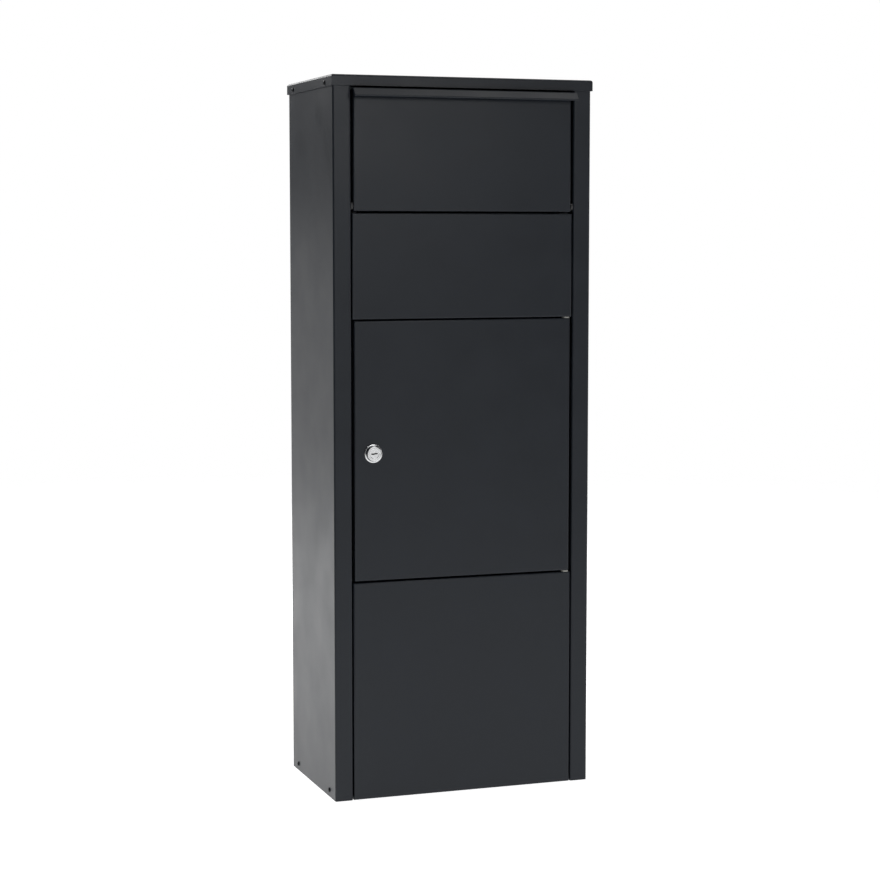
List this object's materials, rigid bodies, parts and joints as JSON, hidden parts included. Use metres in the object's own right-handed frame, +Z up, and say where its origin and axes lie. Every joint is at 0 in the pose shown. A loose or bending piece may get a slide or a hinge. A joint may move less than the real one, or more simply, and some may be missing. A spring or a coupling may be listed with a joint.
{
  "type": "parcel locker",
  "caption": "Free-standing sheet-steel parcel locker with a tip-out parcel drawer on top, a cam-locked door to the storage compartment and a closed plinth.",
  "frame": {"origin": "centre of the footprint, on the floor under the base plate", "axes": "+Z up; -Y to the front, where the drawer and the door are; +X to the right seen from the front"},
  "size_m": [0.3856, 0.2414, 1],
  "materials": {
    "powder_coated_steel": "fine-texture matt anthracite powder coat",
    "chrome_lock": "polished chrome plate",
    "zinc_steel": "bright zinc-plated steel",
    "black_screw": "black zinc-plated screw",
    "nylon_bush": "natural moulded nylon",
    "rubber_stop": "black rubber"
  },
  "bodies": {
    "cabinet": {"left_side_panel": "powder_coated_steel", "right_side_panel": "powder_coated_steel", "back_panel": "powder_coated_steel", "top_cover": "powder_coated_steel", "base_plate": "powder_coated_steel", "compartment_floor": "powder_coated_steel", "floor_brackets": "zinc_steel", "middle_front_panel": "powder_coated_steel", "lower_front_panel": "powder_coated_steel", "cover_screws": "black_screw", "base_screws": "black_screw", "back_panel_rivets": "zinc_steel", "front_panel_rivets": "zinc_steel", "floor_rivets": "zinc_steel", "drawer_pivot_bushes": "nylon_bush", "drawer_bumpers": "rubber_stop", "door_hinge_bushes": "nylon_bush", "door_bumpers": "rubber_stop"},
    "parcel_drawer": {"drawer_front": "powder_coated_steel", "drawer_grip": "powder_coated_steel", "grip_screws": "zinc_steel", "drawer_left_cheek": "powder_coated_steel", "drawer_right_cheek": "powder_coated_steel", "drawer_tray": "powder_coated_steel", "drawer_rivets": "zinc_steel", "drawer_pivot_pins": "zinc_steel"},
    "door": {"door_panel": "powder_coated_steel", "door_hinge_pins": "zinc_steel", "lock_housing": "chrome_lock", "lock_nut": "zinc_steel"},
    "lock_core": {"lock_rotor": "chrome_lock", "lock_spindle": "chrome_lock", "lock_cam": "zinc_steel", "cam_screw": "zinc_steel"}
  },
  "joints": [
    {"name": "drawer_tip", "type": "hinge", "parent": "cabinet", "child": "parcel_drawer", "pos_m": [0, -0.104, 0.8235], "axis": [1, 0, 0], "range_deg": [0, 45]},
    {"name": "door_swing", "type": "hinge", "parent": "cabinet", "child": "door", "pos_m": [0.155, -0.104, 0.48735], "axis": [0, 0, 1], "range_deg": [0, 105]},
    {"name": "lock_turn", "type": "hinge", "parent": "door", "child": "lock_core", "pos_m": [-0.1328, -0.11, 0.4846], "axis": [0, 1, 0], "range_deg": [0, 90]}
  ]
}
